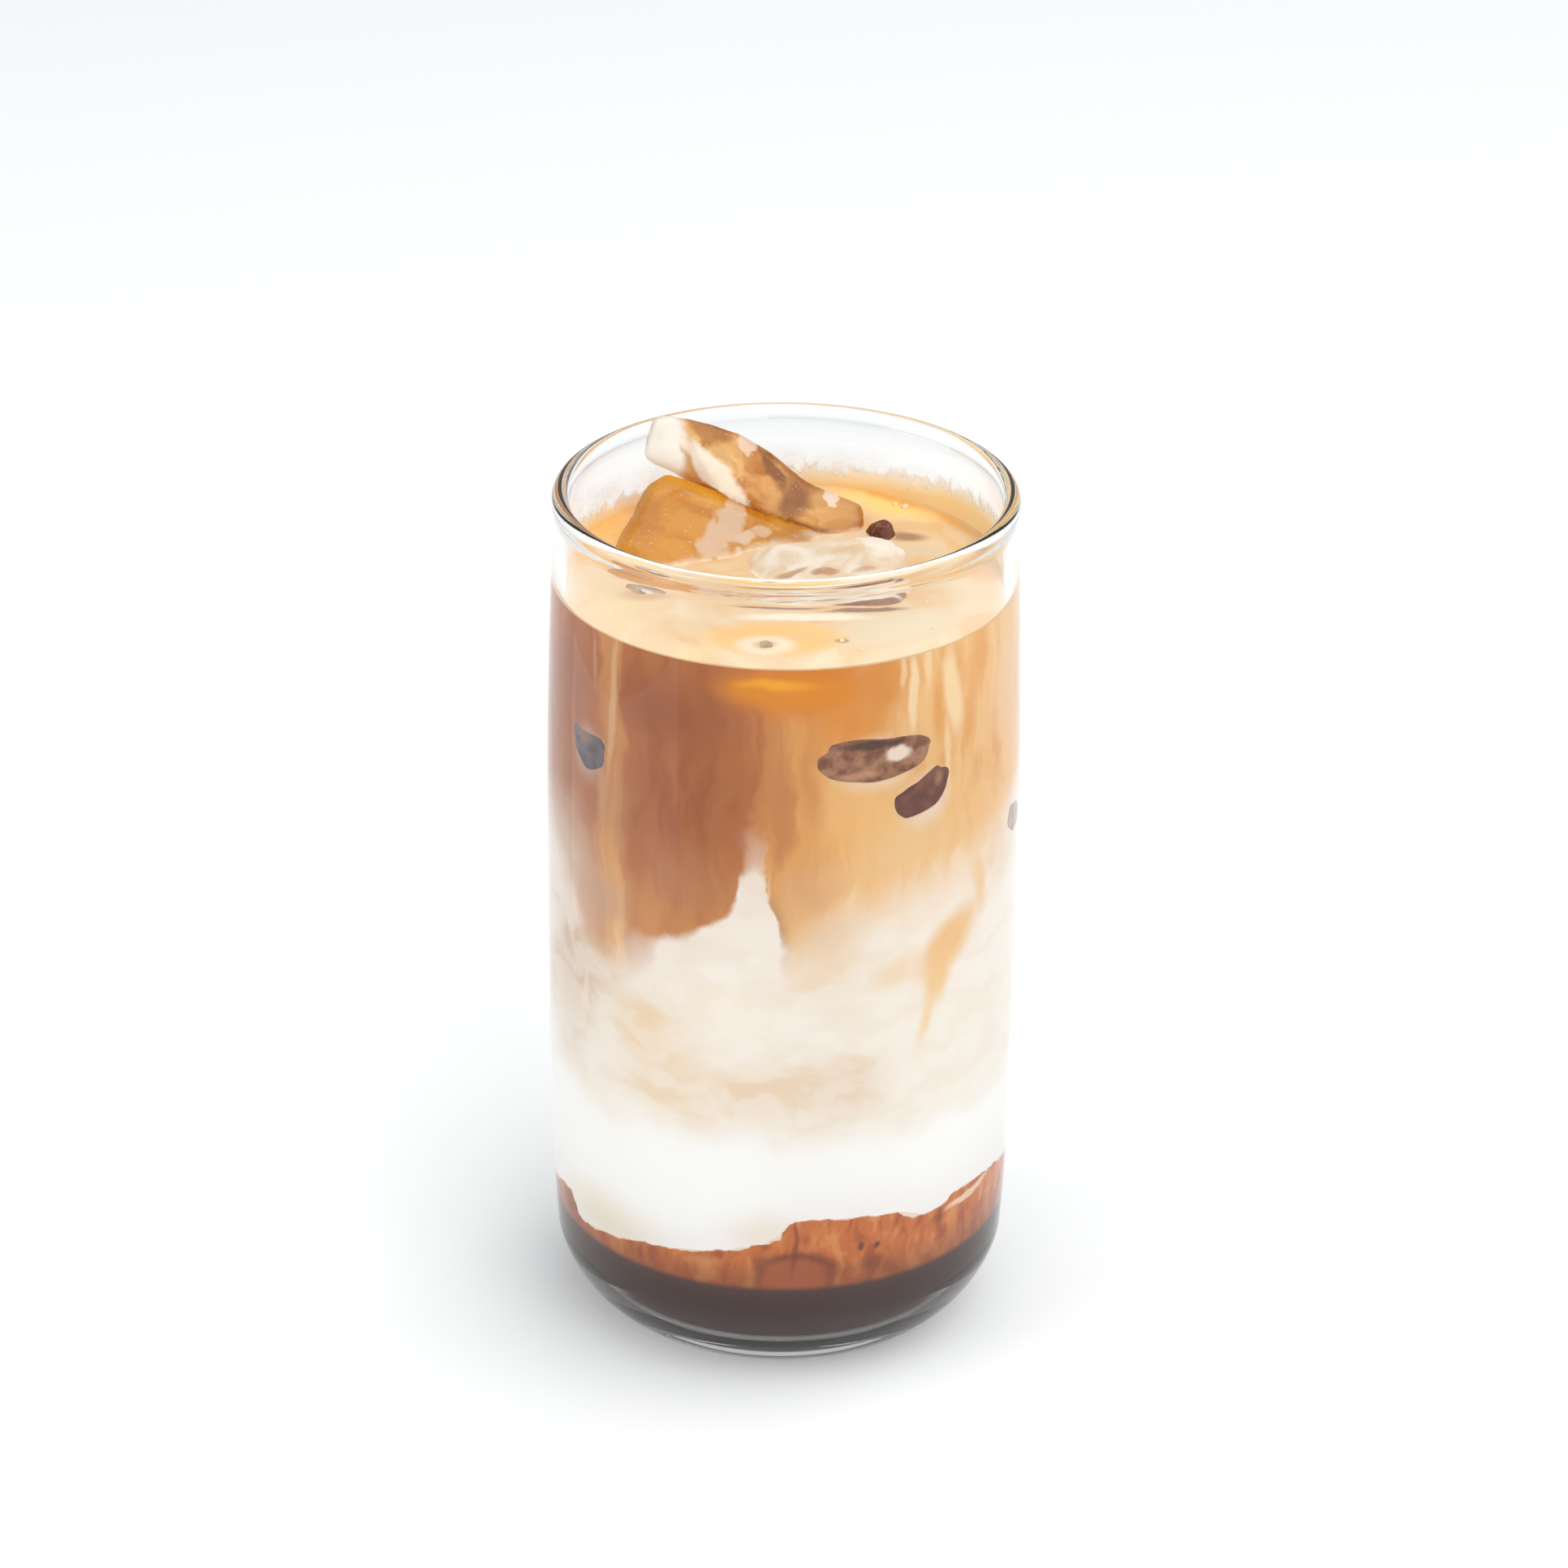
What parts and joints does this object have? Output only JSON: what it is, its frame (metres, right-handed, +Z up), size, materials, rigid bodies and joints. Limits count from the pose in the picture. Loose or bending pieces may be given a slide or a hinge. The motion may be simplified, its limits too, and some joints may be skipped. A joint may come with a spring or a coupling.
{
  "type": "iced mocha",
  "caption": "Tall clear tumbler of iced mocha: chocolate syrup at the bottom, milk swirling into coffee above it, thin crema on top and melting ice standing out of it.",
  "frame": {"origin": "middle of the foot, on the table", "axes": "+Z up along the axis of the tumbler; -Y towards the viewer of the picture; +X to the right"},
  "size_m": [0.073, 0.073, 0.1397],
  "materials": {
    "clear_glass": "polished clear soda-lime glass",
    "syrup": "opaque dark chocolate syrup, glossy",
    "milk": "opaque milk with faint tan clouds",
    "coffee": "milky coffee, brown to caramel",
    "crema": "smooth wet foam, pale caramel",
    "ice": "clear melting ice that shows the coffee under it"
  },
  "bodies": {
    "root": {"glass": "clear_glass", "chocolate_syrup": "syrup", "milk": "milk", "coffee": "coffee", "crema": "crema", "ice_block": "ice", "ice_splinter": "ice", "ice_front": "ice", "ice_chip": "ice", "ice_lump": "ice", "ice_tip": "ice"}
  },
  "joints": []
}
